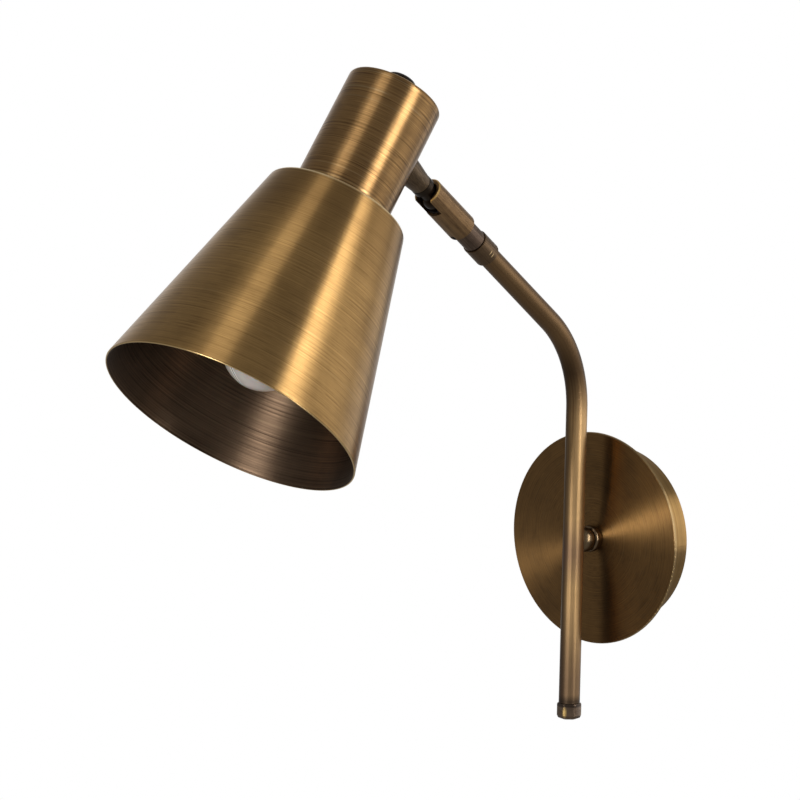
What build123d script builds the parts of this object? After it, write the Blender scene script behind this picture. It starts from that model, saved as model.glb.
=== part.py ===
from build123d import *

import os
from math import acos, atan2, cos, radians, sin, sqrt

os.makedirs("parts", exist_ok=True)

# Adjustable wall light in antique brass, in millimetres.
# The wall is the XZ plane at Y = 0, with the canopy's centre at the origin.
# The light stands out from the wall along -Y, and +Z is up.

# Fits
slip = 0.05  # radial clearance of a fixed piece in its hole
running = 0.08  # radial clearance of a shaft that turns in its bore
face_gap = 0.25  # axial clearance of faces that turn on each other
ball_gap = 0.20  # clearance between the ball and its seats
seat_gap = 0.03  # braze or cope line under a curved foot
wire_bore = 2.5  # radius of the wire's way through the joints

# Canopy
disc_diameter = 120.0
disc_thickness = 1.6
disc_edge_round = 0.6
cup_diameter = 100.4
cup_depth = 20.4
cup_wall = 1.2
cup_corner = 1.5

# Wall bracket
strap_width = 18.0
strap_thickness = 1.5
ear_height = 12.0
ear_clearance = 0.4
wall_slot_spacing = 60.0
wall_slot_length = 12.0
wall_slot_width = 4.6
cable_hole_diameter = 14.0
wing_width = 18.0
wing_height = 30.0
side_screw_depth = 7.0
side_screw_diameter = 3.9
side_screw_head_diameter = 6.4
side_screw_head_height = 1.8
drive_slot_width = 0.8
earth_screw_offset = 14.0
earth_screw_head_diameter = 7.0
earth_screw_head_height = 2.4

# Terminal block
block_height = 24.0
block_width = 15.0
block_depth = 11.0
block_poles = 3
pole_bore = 1.6
pole_screw_bore = 1.8
pole_screw_depth = 5.0
block_edge_round = 0.8

# Swivel at the canopy
bush_ring_diameter = 15.0
bush_ring_length = 5.8
bush_ring_round = 1.8
bush_ring_back_round = 0.5
bush_foot_diameter = 13.8
bush_foot_length = 1.8
bush_shank_diameter = 12.8
bush_washer_diameter = 22.0
bush_washer_thickness = 1.2
bush_nut_flats = 19.0
bush_nut_height = 4.0
bush_tail = 0.8
hub_shank_diameter = 9.0
hub_neck_diameter = 11.4
hub_neck_length = 1.2
hub_bead_diameter = 14.2
hub_bead_wrap = 2.2
hub_bead_set = 0.9  # from the bead's flat back to its widest place
hub_washer_diameter = 14.0
hub_washer_thickness = 1.0
hub_nut_flats = 13.0
hub_nut_height = 4.5
hub_tail = 0.8

# Arm
arm_stand_off = 39.4
arm_rise = 37.4  # upper run above the horizontal, in degrees
bend_height = 107.7
bend_radius = 65.0
tube_diameter = 12.0
tube_wall = 1.0
tube_foot = 92.0
end_cap_flats = 12.7
end_cap_height = 9.3
end_cap_turn = -19.0  # angle the thread leaves the flats at, in degrees
end_cap_chamfer = 0.9
end_cap_foot_bevel = 1.6
end_cap_foot_height = 2.2
end_cap_plug = 8.0
ferrule_diameter = 14.7
ferrule_front = 113.9
ferrule_length = 14.1
ferrule_socket = 5.7
ferrule_front_wall = 4.7
ferrule_chamfer = 0.7

# Knuckle
neck_diameter = 13.4
neck_length = 13.0
neck_chamfer = 0.5
spindle_diameter = 9.5
spindle_ring_diameter = 11.4
spindle_ring_thickness = 1.5
sleeve_diameter = 16.6
sleeve_length = 37.8
sleeve_front_chamfer = 0.8
sleeve_rear_chamfer = 1.2
sleeve_mouth_diameter = 11.4
sleeve_mouth_chamfer = 0.6
slot_width = 10.8
set_screw_diameter = 3.0
set_screw_sink = 0.25
set_screw_inset = 3.0
set_screw_socket = 0.75
ball_diameter = 13.2
ball_depth = 7.1  # ball centre behind the sleeve's mouth
pad_length = 5.0
pad_front = 4.0  # pad's rim behind the ball centre
spring_count = 2
spring_thickness = 0.7
spring_cone = 0.5

# Head
head_station = 220.4  # head axis along the upper run, from the bend's corner
stem_share = 0.6307  # stem's place up the cylinder, as a share of its height
mouth_diameter = 148.2
shoulder_diameter = 79.8
shade_height = 135.0
shade_wall = 1.0
shoulder_round = 3.0
cylinder_foot_diameter = 55.2
cylinder_top_diameter = 54.2
cylinder_height = 74.2
cylinder_wall = 1.0
cylinder_round = 2.5
stud_diameter = 9.6
stud_tail = 1.5
lock_ring_diameter = 12.4
lock_ring_length = 3.5
stem_station = 171.5  # stem's small end along the upper run
stem_small_diameter = 12.0
stem_slope = 0.13  # growth of the radius along the stem
saddle_diameter = 17.0
saddle_thickness = 3.0
stem_nut_flats = 14.0
stem_nut_height = 4.0

# Lampholder
shell_diameter = 39.0
shell_wall = 1.6
shell_mouth_height = 99.0
shell_top_height = 156.0
shell_top_round = 3.0
flange_diameter = 47.0
flange_thickness = 2.4
shade_ring_diameter = 52.0
shade_ring_height = 4.0
screw_shell_diameter = 28.0
screw_shell_wall = 0.5
screw_shell_inset = 2.0
contact_stand = 3.6
contact_base_thickness = 6.0
nipple_diameter = 9.6
nipple_bore = 7.0
nipple_grip = 4.0
holder_nut_flats = 14.0
holder_nut_height = 3.5
cap_diameter = 19.0
cap_height = 9.5
cap_round = 4.2
cap_thread_depth = 6.0
nipple_end_gap = 1.0

# Bulb
globe_diameter = 46.0
globe_tip_height = 20.5
globe_wall = 1.2
bulb_neck_diameter = 27.5
bulb_seat_gap = 1.0
bulb_base_diameter = 26.0
bulb_base_length = 22.0
bulb_tip_diameter = 9.0
bulb_tip_length = 2.5
bulb_collar = 3.0
bulb_base_round = 2.0
contact_gap = 0.4

# Common details
nut_chamfer = 0.5
inner_round = 0.2  # least radius inside a spun corner


def write(part, name):
    """Label a finished piece and write it as its own file."""
    part.label = name
    export_step(part, f"parts/{name}.step")


# Frames
across = Vector(1, 0, 0)
outward = Vector(0, -1, 0)
upward = Vector(0, 0, 1)
rise = radians(arm_rise)
arm_dir = Vector(0, -cos(rise), sin(rise))
head_dir = Vector(0, sin(rise), cos(rise))
bend_corner = Vector(0, -arm_stand_off, bend_height)
stem_height = shade_height + stem_share * cylinder_height
mouth_centre = bend_corner + arm_dir * head_station - head_dir * stem_height

canopy_axis = Axis((0, 0, 0), outward)
arm_axis = Axis(bend_corner, arm_dir)
head_axis = Axis(mouth_centre, head_dir)

# Section planes: local x is the radius, local y runs along the axis
canopy_section = Plane(origin=(0, 0, 0), x_dir=across, z_dir=across.cross(outward))
arm_section = Plane(origin=bend_corner, x_dir=across, z_dir=across.cross(arm_dir))
head_section = Plane(origin=mouth_centre, x_dir=across, z_dir=across.cross(head_dir))


def off_wall(depth):
    """The plane square to the canopy's axis at a depth from the wall."""
    return Plane(origin=outward * depth, x_dir=across, z_dir=outward)


def on_arm(station):
    """The plane square to the upper run at a station from the bend's corner."""
    return Plane(origin=bend_corner + arm_dir * station, x_dir=across, z_dir=arm_dir)


def under_arm(station):
    """The plane along the upper run whose normal points down at the slot's side."""
    return Plane(origin=bend_corner + arm_dir * station, x_dir=across, z_dir=-head_dir)


def on_head(height):
    """The plane square to the head's axis at a height above the mouth."""
    return Plane(origin=mouth_centre + head_dir * height, x_dir=across, z_dir=head_dir)


def spun_section(foot_radius, top_radius, hole_radius, foot, top, wall, corner):
    """Draw half the section of a spun cup: a wall turned in to a flat top with a hole."""
    slope = (foot_radius - top_radius) / (top - foot)
    side = wall * sqrt(1 + slope**2)
    inner_top = top_radius + slope * wall - side
    FilletPolyline((foot_radius, foot), (top_radius, top), (hole_radius, top), radius=corner)
    Line((hole_radius, top), (hole_radius, top - wall))
    FilletPolyline(
        (hole_radius, top - wall),
        (inner_top, top - wall),
        (foot_radius - side, foot),
        radius=max(corner - wall, inner_round),
    )
    Line((foot_radius - side, foot), (foot_radius, foot))


# Derived sizes: canopy
disc_radius = disc_diameter / 2
cup_radius = cup_diameter / 2
cup_inner_radius = cup_radius - cup_wall
face_depth = cup_depth + disc_thickness
ear_face = sqrt(cup_inner_radius**2 - (strap_width / 2) ** 2) - ear_clearance
side_screw_radius = side_screw_diameter / 2
bush_shank_radius = bush_shank_diameter / 2
hub_shank_radius = hub_shank_diameter / 2
cup_floor = cup_depth - cup_wall
bush_nut_depth = cup_floor - bush_washer_thickness - bush_nut_height
bush_tail_depth = bush_nut_depth - bush_tail
bush_front = face_depth + bush_ring_length
hub_washer_depth = bush_tail_depth - face_gap - hub_washer_thickness
hub_nut_depth = hub_washer_depth - hub_nut_height
hub_tail_depth = hub_nut_depth - hub_tail
hub_shoulder = bush_front + face_gap

# Derived sizes: arm and knuckle
tube_radius = tube_diameter / 2
tube_bore = tube_radius - tube_wall
ferrule_rear = ferrule_front - ferrule_length
tube_end = ferrule_rear + ferrule_socket
ferrule_radius = ferrule_diameter / 2
neck_radius = neck_diameter / 2
spindle_radius = spindle_diameter / 2
neck_rear = ferrule_front + face_gap
spindle_ring_front = ferrule_front - ferrule_front_wall - face_gap
spindle_ring_rear = spindle_ring_front - spindle_ring_thickness
sleeve_rear = ferrule_front + neck_length
sleeve_front = sleeve_rear + sleeve_length
sleeve_radius = sleeve_diameter / 2
sleeve_bore = neck_radius + slip
ball_station = sleeve_front - ball_depth
ball_radius = ball_diameter / 2
seat_radius = ball_radius + ball_gap
mouth_radius = sleeve_mouth_diameter / 2
seat_rear = ball_station + sqrt(seat_radius**2 - sleeve_bore**2)
seat_front = ball_station + sqrt(seat_radius**2 - mouth_radius**2)
pad_rear = ball_station - pad_front - pad_length
spring_pitch = spring_thickness + spring_cone + slip
neck_front = pad_rear - spring_count * spring_pitch
set_screw_radius = set_screw_diameter / 2
set_screw_length = sleeve_radius - sleeve_bore - set_screw_sink

# Derived sizes: head
stud_radius = stud_diameter / 2
cylinder_foot_radius = cylinder_foot_diameter / 2
cylinder_top_radius = cylinder_top_diameter / 2
head_height = shade_height + cylinder_height
stem_wall_radius = cylinder_foot_radius + (cylinder_top_radius - cylinder_foot_radius) * stem_share
stem_foot_station = head_station - stem_wall_radius
saddle_station = head_station - stem_wall_radius + cylinder_wall + saddle_thickness
stem_nut_station = saddle_station + stem_nut_height
stud_end = stem_nut_station + stud_tail
shell_radius = shell_diameter / 2
shell_bore = shell_radius - shell_wall
shade_floor = shade_height - shade_wall
screw_shell_radius = screw_shell_diameter / 2
nipple_radius = nipple_diameter / 2
nipple_foot = shell_top_height - nipple_grip
nipple_head = head_height + cap_thread_depth - nipple_end_gap
globe_radius = globe_diameter / 2
bulb_neck_radius = bulb_neck_diameter / 2
bulb_base_radius = bulb_base_diameter / 2
bulb_neck_height = shell_mouth_height + screw_shell_inset - bulb_seat_gap - bulb_collar
bulb_base_top = bulb_neck_height + bulb_collar + bulb_base_length
contact_base_height = bulb_base_top + bulb_tip_length + contact_gap + contact_stand

# Wall bracket: a strap with two screw slots, bent up into ears, and a wing for the terminals
with BuildPart() as wall_bracket:
    with BuildSketch(off_wall(0)):
        Rectangle(strap_width, 2 * ear_face)
        with Locations((-(strap_width + wing_width) / 2, 0)):
            Rectangle(wing_width, wing_height)
        with GridLocations(0, wall_slot_spacing, 1, 2):
            SlotOverall(wall_slot_length, wall_slot_width, rotation=90, mode=Mode.SUBTRACT)
        Circle(cable_hole_diameter / 2, mode=Mode.SUBTRACT)
        with Locations((0, earth_screw_offset)):
            Circle(side_screw_radius + slip, mode=Mode.SUBTRACT)
    extrude(amount=strap_thickness)
    with BuildSketch(off_wall(0)):
        with GridLocations(0, 2 * ear_face - strap_thickness, 1, 2):
            Rectangle(strap_width, strap_thickness)
    extrude(amount=ear_height)
    for end in (0, -1):
        bend_edges = wall_bracket.edges().filter_by(Axis.X).group_by(Axis.Z)[end]
        fillet(bend_edges.sort_by(Axis.Y)[-1], strap_thickness)
    with Locations(Plane(origin=(0, -side_screw_depth, ear_face), z_dir=upward)):
        Hole(side_screw_radius + slip, depth=2 * ear_face)
write(wall_bracket.part, "wall_bracket")

# Canopy cup: spun drum, open to the wall
with BuildPart() as canopy_cup:
    with BuildSketch(canopy_section):
        with BuildLine():
            spun_section(
                cup_radius, cup_radius, bush_shank_radius + slip, 0, cup_depth, cup_wall, cup_corner
            )
        make_face()
    revolve(axis=canopy_axis)
    with Locations(Plane(origin=(0, -side_screw_depth, cup_radius), z_dir=upward)):
        Hole(side_screw_radius + slip, depth=cup_diameter)
write(canopy_cup.part, "canopy_cup")

# Canopy disc: turned plate with an eased edge
with BuildPart() as canopy_disc:
    with BuildSketch(off_wall(cup_depth)):
        Circle(disc_radius)
        Circle(bush_shank_radius + slip, mode=Mode.SUBTRACT)
    extrude(amount=disc_thickness)
    rim = canopy_disc.edges().filter_by(GeomType.CIRCLE).group_by(SortBy.RADIUS)[-1]
    fillet(rim.sort_by(canopy_axis)[-1], disc_edge_round)
write(canopy_disc.part, "canopy_disc")

# Side screws: hold the cup on the bracket's ears
with BuildPart() as canopy_side_screws:
    for turn in (1, -1):
        head_seat = Plane(
            origin=(0, -side_screw_depth, turn * cup_radius), x_dir=across, z_dir=upward * turn
        )
        with BuildSketch(head_seat):
            Circle(side_screw_head_diameter / 2)
        extrude(amount=side_screw_head_height)
        with BuildSketch(head_seat):
            Circle(side_screw_radius)
        extrude(amount=ear_face - strap_thickness - cup_radius)
        with BuildSketch(head_seat.offset(side_screw_head_height)):
            Rectangle(side_screw_head_diameter, drive_slot_width)
        extrude(amount=-side_screw_head_height / 2, mode=Mode.SUBTRACT)
write(canopy_side_screws.part, "canopy_side_screws")

# Earth screw in the strap
with BuildPart() as earth_screw:
    earth_seat = Plane(
        origin=(0, -strap_thickness, earth_screw_offset), x_dir=across, z_dir=outward
    )
    with BuildSketch(earth_seat):
        Circle(earth_screw_head_diameter / 2)
    extrude(amount=earth_screw_head_height)
    with BuildSketch(earth_seat):
        Circle(side_screw_radius)
    extrude(amount=-strap_thickness)
    with BuildSketch(earth_seat.offset(earth_screw_head_height)):
        Rectangle(earth_screw_head_diameter, drive_slot_width)
    extrude(amount=-earth_screw_head_height / 2, mode=Mode.SUBTRACT)
write(earth_screw.part, "earth_screw")

# Terminal block on the bracket's wing
with BuildPart() as terminal_block:
    block_seat = Plane(
        origin=(-(strap_width + wing_width) / 2, -strap_thickness, 0), x_dir=across, z_dir=outward
    )
    pole_pitch = block_height / block_poles
    with BuildSketch(block_seat):
        Rectangle(block_width, block_height)
    extrude(amount=block_depth)
    fillet(terminal_block.edges().filter_by(Axis.Y), block_edge_round)
    with BuildSketch(Plane(block_seat.origin + across * (block_width / 2), x_dir=upward, z_dir=across)):
        with Locations((0, block_depth / 2)):
            with GridLocations(pole_pitch, 0, block_poles, 1):
                Circle(pole_bore)
    extrude(amount=-block_width, mode=Mode.SUBTRACT)
    with BuildSketch(block_seat.offset(block_depth)):
        with GridLocations(block_width / 2, pole_pitch, 2, block_poles):
            Circle(pole_screw_bore)
    extrude(amount=-pole_screw_depth, mode=Mode.SUBTRACT)
write(terminal_block.part, "terminal_block")

# Swivel bush: the ring on its narrower foot, with the shank that clamps disc and cup
ring_rear = face_depth + bush_foot_length
with BuildPart() as swivel_bush:
    with BuildSketch(canopy_section):
        with BuildLine():
            FilletPolyline(
                (bush_shank_radius, bush_tail_depth),
                (bush_shank_radius, face_depth),
                (bush_foot_diameter / 2, face_depth),
                (bush_foot_diameter / 2, ring_rear),
                (bush_ring_diameter / 2, ring_rear),
                (bush_ring_diameter / 2, bush_front),
                (hub_shank_radius + running, bush_front),
                radius=[0, 0, 0, bush_ring_back_round, bush_ring_round],
            )
            Polyline(
                (hub_shank_radius + running, bush_front),
                (hub_shank_radius + running, bush_tail_depth),
                (bush_shank_radius, bush_tail_depth),
            )
        make_face()
    revolve(axis=canopy_axis)
write(swivel_bush.part, "swivel_bush")

# Arm hub: ball coped round the tube, with a hollow shank that turns in the bush
bead_rear = hub_shoulder + hub_neck_length
bead_front = arm_stand_off - tube_radius + hub_bead_wrap
bead_radius = hub_bead_diameter / 2
bead_middle = bead_rear + hub_bead_set
bead_back_radius = (bead_radius**2 - hub_bead_set**2) ** 0.5
bead_front_radius = (bead_radius**2 - (bead_front - bead_middle) ** 2) ** 0.5
with BuildPart() as arm_hub:
    with BuildSketch(canopy_section):
        with BuildLine():
            Line((hub_neck_diameter / 2, bead_rear), (bead_back_radius, bead_rear))
            ThreePointArc(
                (bead_back_radius, bead_rear),
                (bead_radius, bead_middle),
                (bead_front_radius, bead_front),
            )
            Polyline(
                (bead_front_radius, bead_front),
                (wire_bore, bead_front),
                (wire_bore, hub_tail_depth),
                (hub_shank_radius, hub_tail_depth),
                (hub_shank_radius, hub_shoulder),
                (hub_neck_diameter / 2, hub_shoulder),
                (hub_neck_diameter / 2, bead_rear),
            )
        make_face()
    revolve(axis=canopy_axis)
    with BuildSketch(Plane(origin=(0, -arm_stand_off, -hub_bead_diameter), z_dir=upward)):
        Circle(tube_radius + seat_gap)
    extrude(amount=2 * hub_bead_diameter, mode=Mode.SUBTRACT)
write(arm_hub.part, "arm_hub")

# Arm tube: a vertical run, one bend and the upper run, with a wire hole at the hub
with BuildPart() as arm_tube:
    with BuildLine():
        FilletPolyline(
            (0, -arm_stand_off, -tube_foot),
            bend_corner,
            bend_corner + arm_dir * tube_end,
            radius=bend_radius,
        )
    with BuildSketch(Plane(origin=(0, -arm_stand_off, -tube_foot), z_dir=upward)):
        Circle(tube_radius)
        Circle(tube_bore, mode=Mode.SUBTRACT)
    sweep()
    with BuildSketch(off_wall(arm_stand_off)):
        Circle(wire_bore)
    extrude(amount=-tube_diameter, mode=Mode.SUBTRACT)
write(arm_tube.part, "arm_tube")

# Hex end cap: chamfered head below the tube, plug inside it
with BuildPart() as tube_end_cap:
    with BuildSketch(Plane(origin=(0, -arm_stand_off, -tube_foot), z_dir=upward)):
        RegularPolygon(end_cap_flats / 2, 6, major_radius=False, rotation=end_cap_turn)
    extrude(amount=-end_cap_height)
    with BuildSketch(Plane(origin=(0, -arm_stand_off, -tube_foot), x_dir=across, z_dir=outward)):
        with BuildLine():
            corner = end_cap_flats / sqrt(3)
            Polyline(
                (0, 0),
                (corner - end_cap_chamfer, 0),
                (corner, -end_cap_chamfer),
                (corner, end_cap_foot_height - end_cap_height),
                (corner - end_cap_foot_bevel, -end_cap_height),
                (0, -end_cap_height),
                close=True,
            )
        make_face()
    revolve(axis=Axis((0, -arm_stand_off, 0), upward), mode=Mode.INTERSECT)
    with BuildSketch(Plane(origin=(0, -arm_stand_off, -tube_foot), z_dir=upward)):
        Circle(tube_bore - slip)
    extrude(amount=end_cap_plug)
write(tube_end_cap.part, "tube_end_cap")

# Ferrule: socket for the tube behind, bearing wall for the spindle in front
with BuildPart() as tube_ferrule:
    with BuildSketch(arm_section):
        with BuildLine():
            Polyline(
                (tube_radius + slip, ferrule_rear),
                (ferrule_radius - ferrule_chamfer, ferrule_rear),
                (ferrule_radius, ferrule_rear + ferrule_chamfer),
                (ferrule_radius, ferrule_front - ferrule_chamfer / 2),
                (ferrule_radius - ferrule_chamfer / 2, ferrule_front),
                (spindle_radius + running, ferrule_front),
                (spindle_radius + running, ferrule_front - ferrule_front_wall),
                (tube_radius + slip, ferrule_front - ferrule_front_wall),
                close=True,
            )
        make_face()
    revolve(axis=arm_axis)
write(tube_ferrule.part, "tube_ferrule")

# Neck spindle: turns in the ferrule and screws into the sleeve
with BuildPart() as neck_spindle:
    with BuildSketch(arm_section):
        with BuildLine():
            Polyline(
                (wire_bore, spindle_ring_rear),
                (spindle_radius, spindle_ring_rear),
                (spindle_radius, neck_rear),
                (neck_radius - neck_chamfer, neck_rear),
                (neck_radius, neck_rear + neck_chamfer),
                (neck_radius, neck_front),
                (wire_bore, neck_front),
                close=True,
            )
        make_face()
    revolve(axis=arm_axis)
write(neck_spindle.part, "neck_spindle")

# Joint sleeve: ball socket with a side slot that the stem swings through
with BuildPart() as joint_sleeve:
    with BuildSketch(arm_section):
        with BuildLine():
            Polyline(
                (sleeve_bore, seat_rear),
                (sleeve_bore, sleeve_rear),
                (sleeve_radius - sleeve_rear_chamfer, sleeve_rear),
                (sleeve_radius, sleeve_rear + sleeve_rear_chamfer),
                (sleeve_radius, sleeve_front - sleeve_front_chamfer),
                (sleeve_radius - sleeve_front_chamfer, sleeve_front),
                (mouth_radius + sleeve_mouth_chamfer, sleeve_front),
                (mouth_radius, sleeve_front - sleeve_mouth_chamfer),
                (mouth_radius, seat_front),
            )
            RadiusArc((mouth_radius, seat_front), (sleeve_bore, seat_rear), seat_radius)
        make_face()
    revolve(axis=arm_axis)
    with BuildSketch(under_arm(ball_station)):
        with Locations((0, (2 * ball_depth - slot_width / 2) / 2)):
            Rectangle(slot_width, slot_width / 2 + 2 * ball_depth)
    extrude(amount=sleeve_diameter, mode=Mode.SUBTRACT)
    with BuildSketch(under_arm(sleeve_rear + set_screw_inset)):
        Circle(set_screw_radius + slip)
    extrude(amount=sleeve_diameter, mode=Mode.SUBTRACT)
write(joint_sleeve.part, "joint_sleeve")

# Set screw: locks the sleeve on the neck
with BuildPart() as sleeve_set_screw:
    screw_seat = under_arm(sleeve_rear + set_screw_inset).offset(sleeve_bore)
    with BuildSketch(screw_seat):
        Circle(set_screw_radius)
    extrude(amount=set_screw_length)
    with BuildSketch(screw_seat.offset(set_screw_length / 2)):
        RegularPolygon(set_screw_socket, 6)
    extrude(amount=set_screw_length, mode=Mode.SUBTRACT)
write(sleeve_set_screw.part, "sleeve_set_screw")

# Pressure pad: hollow cup that bears on the back of the ball
with BuildPart() as pressure_pad:
    with BuildSketch(on_arm(pad_rear)):
        Circle(neck_radius)
        Circle(wire_bore, mode=Mode.SUBTRACT)
    extrude(amount=pad_length)
    with Locations(on_arm(ball_station)):
        Sphere(seat_radius, mode=Mode.SUBTRACT)
write(pressure_pad.part, "pressure_pad")

# Disc springs: coned washers, stacked face to face
with BuildPart() as disc_springs:
    for index in range(spring_count):
        foot = neck_front + index * spring_pitch
        cone = spring_cone if index % 2 == 0 else 0
        rim = spring_cone - cone
        with BuildSketch(arm_section):
            with BuildLine():
                Polyline(
                    (wire_bore, foot + cone),
                    (neck_radius - slip, foot + rim),
                    (neck_radius - slip, foot + rim + spring_thickness),
                    (wire_bore, foot + cone + spring_thickness),
                    close=True,
                )
            make_face()
        revolve(axis=arm_axis)
write(disc_springs.part, "disc_springs")

# Ball stud: ball with a hollow threaded rod that runs into the head
with BuildPart() as ball_stud:
    with Locations(on_arm(ball_station)):
        Sphere(ball_radius)
    with BuildSketch(on_arm(ball_station)):
        Circle(stud_radius)
    extrude(amount=stud_end - ball_station)
    with BuildSketch(on_arm(ball_station - ball_radius)):
        Circle(wire_bore)
    extrude(amount=stud_end - ball_station + ball_radius, mode=Mode.SUBTRACT)
write(ball_stud.part, "ball_stud")

# Stem: cone between the lock ring and the cylinder, coped to its side
with BuildPart() as head_stem:
    with BuildSketch(arm_section):
        with BuildLine():
            stem_reach = stem_foot_station + cylinder_wall + saddle_thickness
            stem_foot_radius = stem_small_diameter / 2 + stem_slope * (stem_reach - stem_station)
            Polyline(
                (stud_radius + slip, stem_station),
                (stem_small_diameter / 2, stem_station),
                (stem_foot_radius, stem_reach),
                (stud_radius + slip, stem_reach),
                close=True,
            )
        make_face()
    revolve(axis=arm_axis)
    with BuildSketch(head_section):
        with BuildLine():
            Polyline(
                (0, shade_height),
                (cylinder_foot_radius + seat_gap, shade_height),
                (cylinder_top_radius + seat_gap, head_height),
                (0, head_height),
                close=True,
            )
        make_face()
    revolve(axis=head_axis, mode=Mode.SUBTRACT)
write(head_stem.part, "head_stem")

# Saddle washer inside the cylinder: round outside to the wall, flat under the nut
with BuildPart() as stem_saddle:
    with BuildSketch(on_arm(saddle_station)):
        Circle(saddle_diameter / 2)
        Circle(stud_radius + slip, mode=Mode.SUBTRACT)
    extrude(amount=-2 * saddle_thickness)
    with BuildSketch(head_section):
        with BuildLine():
            Polyline(
                (0, shade_height),
                (cylinder_foot_radius - cylinder_wall - seat_gap, shade_height),
                (cylinder_top_radius - cylinder_wall - seat_gap, head_height),
                (0, head_height),
                close=True,
            )
        make_face()
    revolve(axis=head_axis, mode=Mode.INTERSECT)
write(stem_saddle.part, "stem_saddle")

# Head cylinder: spun cup with a slight draft, open onto the shade's shoulder
with BuildPart() as head_cylinder:
    with BuildSketch(head_section):
        with BuildLine():
            spun_section(
                cylinder_foot_radius,
                cylinder_top_radius,
                nipple_radius + slip,
                shade_height,
                head_height,
                cylinder_wall,
                cylinder_round,
            )
        make_face()
    revolve(axis=head_axis)
    with BuildSketch(on_arm(stem_foot_station - cylinder_wall)):
        Circle(stud_radius + slip)
    extrude(amount=stem_wall_radius, mode=Mode.SUBTRACT)
write(head_cylinder.part, "head_cylinder")

# Shade: spun cone with a flat shoulder
with BuildPart() as shade:
    with BuildSketch(head_section):
        with BuildLine():
            spun_section(
                mouth_diameter / 2,
                shoulder_diameter / 2,
                shell_radius + slip,
                0,
                shade_height,
                shade_wall,
                shoulder_round,
            )
        make_face()
    revolve(axis=head_axis)
write(shade.part, "shade")

# Lampholder shell: skirt through the shoulder, flange on top of it, domed top
with BuildPart() as holder_shell:
    with BuildSketch(head_section):
        with BuildLine():
            spun_section(
                shell_radius,
                shell_radius,
                nipple_radius + slip,
                shell_mouth_height,
                shell_top_height,
                shell_wall,
                shell_top_round,
            )
        make_face()
        with Locations(((flange_diameter / 2 + shell_bore) / 2, shade_height + flange_thickness / 2)):
            Rectangle(flange_diameter / 2 - shell_bore, flange_thickness)
    revolve(axis=head_axis)
write(holder_shell.part, "holder_shell")

# Screw shell of the lampholder: thin cup standing on the contact base
with BuildPart() as holder_screw_shell:
    with BuildSketch(on_head(shell_mouth_height + screw_shell_inset)):
        Circle(screw_shell_radius)
        Circle(screw_shell_radius - screw_shell_wall, mode=Mode.SUBTRACT)
    extrude(amount=contact_base_height - shell_mouth_height - screw_shell_inset)
write(holder_screw_shell.part, "holder_screw_shell")

# Contact base of the lampholder, with its centre contact
with BuildPart() as holder_contact_base:
    with BuildSketch(on_head(contact_base_height)):
        Circle(shell_bore - slip)
    extrude(amount=contact_base_thickness)
    with BuildSketch(on_head(contact_base_height)):
        Circle(bulb_tip_diameter / 2)
    extrude(amount=-contact_stand)
write(holder_contact_base.part, "holder_contact_base")

# Nipple: joins the lampholder to the cap nut through the cylinder's top
with BuildPart() as holder_nipple:
    with BuildSketch(on_head(nipple_foot)):
        Circle(nipple_radius)
        Circle(nipple_bore / 2, mode=Mode.SUBTRACT)
    extrude(amount=nipple_head - nipple_foot)
write(holder_nipple.part, "holder_nipple")

# Cap nut on top of the head
with BuildPart() as top_cap_nut:
    with BuildSketch(on_head(head_height)):
        Circle(cap_diameter / 2)
    extrude(amount=cap_height)
    crown = top_cap_nut.edges().filter_by(GeomType.CIRCLE).sort_by(head_axis)[-1]
    fillet(crown, cap_round)
    with BuildSketch(on_head(head_height)):
        Circle(nipple_radius + slip)
    extrude(amount=cap_thread_depth, mode=Mode.SUBTRACT)
write(top_cap_nut.part, "top_cap_nut")

# Bulb globe: thin opal shell, a ball drawn into a neck
globe_centre = globe_tip_height + globe_radius
neck_rise = bulb_neck_height - globe_centre
neck_reach = sqrt(neck_rise**2 + bulb_neck_radius**2)
tangent_angle = atan2(bulb_neck_radius, neck_rise) + acos(globe_radius / neck_reach)
tangent_point = (globe_radius * sin(tangent_angle), globe_centre + globe_radius * cos(tangent_angle))
with BuildPart() as bulb_globe:
    with BuildSketch(head_section):
        with BuildLine():
            ThreePointArc((0, globe_tip_height), (globe_radius, globe_centre), tangent_point)
            Line(tangent_point, (bulb_neck_radius, bulb_neck_height))
            offset(amount=globe_wall, side=Side.LEFT)
        make_face()
    revolve(axis=head_axis)
write(bulb_globe.part, "bulb_globe")

# Bulb base: collar in the globe's neck, screw cap and tip contact
with BuildPart() as bulb_base:
    with BuildSketch(head_section):
        with BuildLine():
            FilletPolyline(
                (0, bulb_neck_height),
                (bulb_neck_radius, bulb_neck_height),
                (bulb_neck_radius, bulb_neck_height + bulb_collar),
                (bulb_base_radius, bulb_neck_height + bulb_collar),
                (bulb_base_radius, bulb_base_top),
                (bulb_tip_diameter / 2, bulb_base_top + bulb_tip_length),
                (0, bulb_base_top + bulb_tip_length),
                radius=[0, 0, 0, bulb_base_round, 0],
            )
            Line((0, bulb_base_top + bulb_tip_length), (0, bulb_neck_height))
        make_face()
    revolve(axis=head_axis)
write(bulb_base.part, "bulb_base")

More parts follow.
